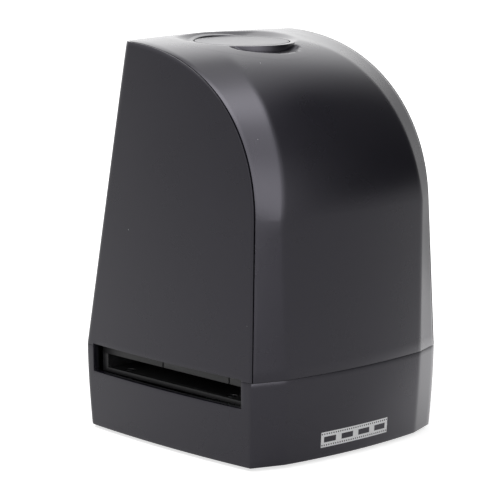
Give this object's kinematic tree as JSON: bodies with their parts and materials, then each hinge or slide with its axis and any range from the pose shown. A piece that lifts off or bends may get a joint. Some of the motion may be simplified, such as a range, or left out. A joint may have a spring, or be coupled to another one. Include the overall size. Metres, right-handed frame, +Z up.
{
  "type": "film negative scanner",
  "caption": "Desktop scanner for mounted slides and film strips: an arched tower on a shallow base, with a film slot through both sides and a round push button in the top",
  "frame": {"origin": "On the table under the middle of the part, at the bottom centre of its box", "axes": "+Z up. The front faces -Y, the film holder slides along X, and the data socket faces +Y"},
  "size_m": [0.0898, 0.0944, 0.136],
  "materials": {
    "housing": "satin moulded charcoal",
    "foot_rubber": "matt",
    "steel": "zinc plated",
    "guide_plastic": "fine matt",
    "board": "solder resist",
    "diode_resin": "phosphor",
    "white_plastic": "gloss white",
    "opal": "opal",
    "frame_plastic": "moulded",
    "barrel_metal": "black anodised",
    "lens_glass": "coated",
    "filter_glass": "coated",
    "chip_black": "moulded",
    "header_plastic": "natural nylon",
    "ribbon_plastic": "flexible",
    "wire_red": "flexible",
    "wire_blue": "flexible",
    "wire_grey": "flexible",
    "button_plastic": "satin moulded charcoal",
    "plunger_white": "moulded"
  },
  "bodies": {
    "housing": {"base_housing": "housing", "bottom_cover": "housing", "rubber_feet": "foot_rubber", "cover_screws": "steel", "base_screws": "steel", "lower_film_guide": "guide_plastic", "guide_screws": "steel", "detent_spring": "steel", "detent_cap": "guide_plastic", "backlight_board": "board", "backlight_leds": "diode_resin", "backlight_screws": "steel", "reflector_box": "white_plastic", "diffuser_plate": "opal", "upper_film_guide": "guide_plastic", "upper_guide_screws": "steel", "chassis": "frame_plastic", "chassis_screws": "steel", "light_baffle": "guide_plastic", "baffle_screws": "steel", "lens_holder": "guide_plastic", "lens_barrel": "barrel_metal", "front_lens": "lens_glass", "middle_lens": "lens_glass", "rear_lens": "lens_glass", "lens_stop": "guide_plastic", "lens_ring": "guide_plastic", "infrared_filter": "filter_glass", "sensor_board": "board", "image_sensor": "chip_black", "sensor_screws": "steel", "main_board": "board", "image_processor": "chip_black", "memory_chip": "chip_black", "main_board_screws": "steel", "wire_headers": "header_plastic", "usb_board": "board", "usb_socket": "steel", "usb_board_screws": "steel", "sensor_ribbon": "ribbon_plastic", "backlight_wires": "wire_red", "button_wires": "wire_blue", "usb_wires": "wire_grey", "rear_housing": "housing", "front_hood": "housing", "hood_screws": "steel", "button_spring": "steel", "button_bracket": "frame_plastic", "bracket_screws": "steel", "button_board": "board", "switch_body": "chip_black", "button_board_screws": "steel"},
    "button": {"scan_button": "button_plastic"},
    "switch_cap": {"switch_plunger": "plunger_white"},
    "detent": {"detent_plunger": "steel"}
  },
  "joints": [
    {"name": "button_press", "type": "slide", "parent": "housing", "child": "button", "axis": [0, 0, -1], "range_m": [0, 0.0006], "stiffness_N_per_m": 900, "springref_m": -0.0012, "deforming": ["button_spring"]},
    {"name": "switch_press", "type": "slide", "parent": "housing", "child": "switch_cap", "axis": [0, 0, -1], "range_m": [0, 0.0006]},
    {"name": "detent_press", "type": "slide", "parent": "housing", "child": "detent", "axis": [0, 1, 0], "range_m": [0, 0.001], "stiffness_N_per_m": 300, "springref_m": -0.0015, "deforming": ["detent_spring"]}
  ],
  "couplings": [
    {"joint": "switch_press", "follows": "button_press", "ratio": 1}
  ]
}
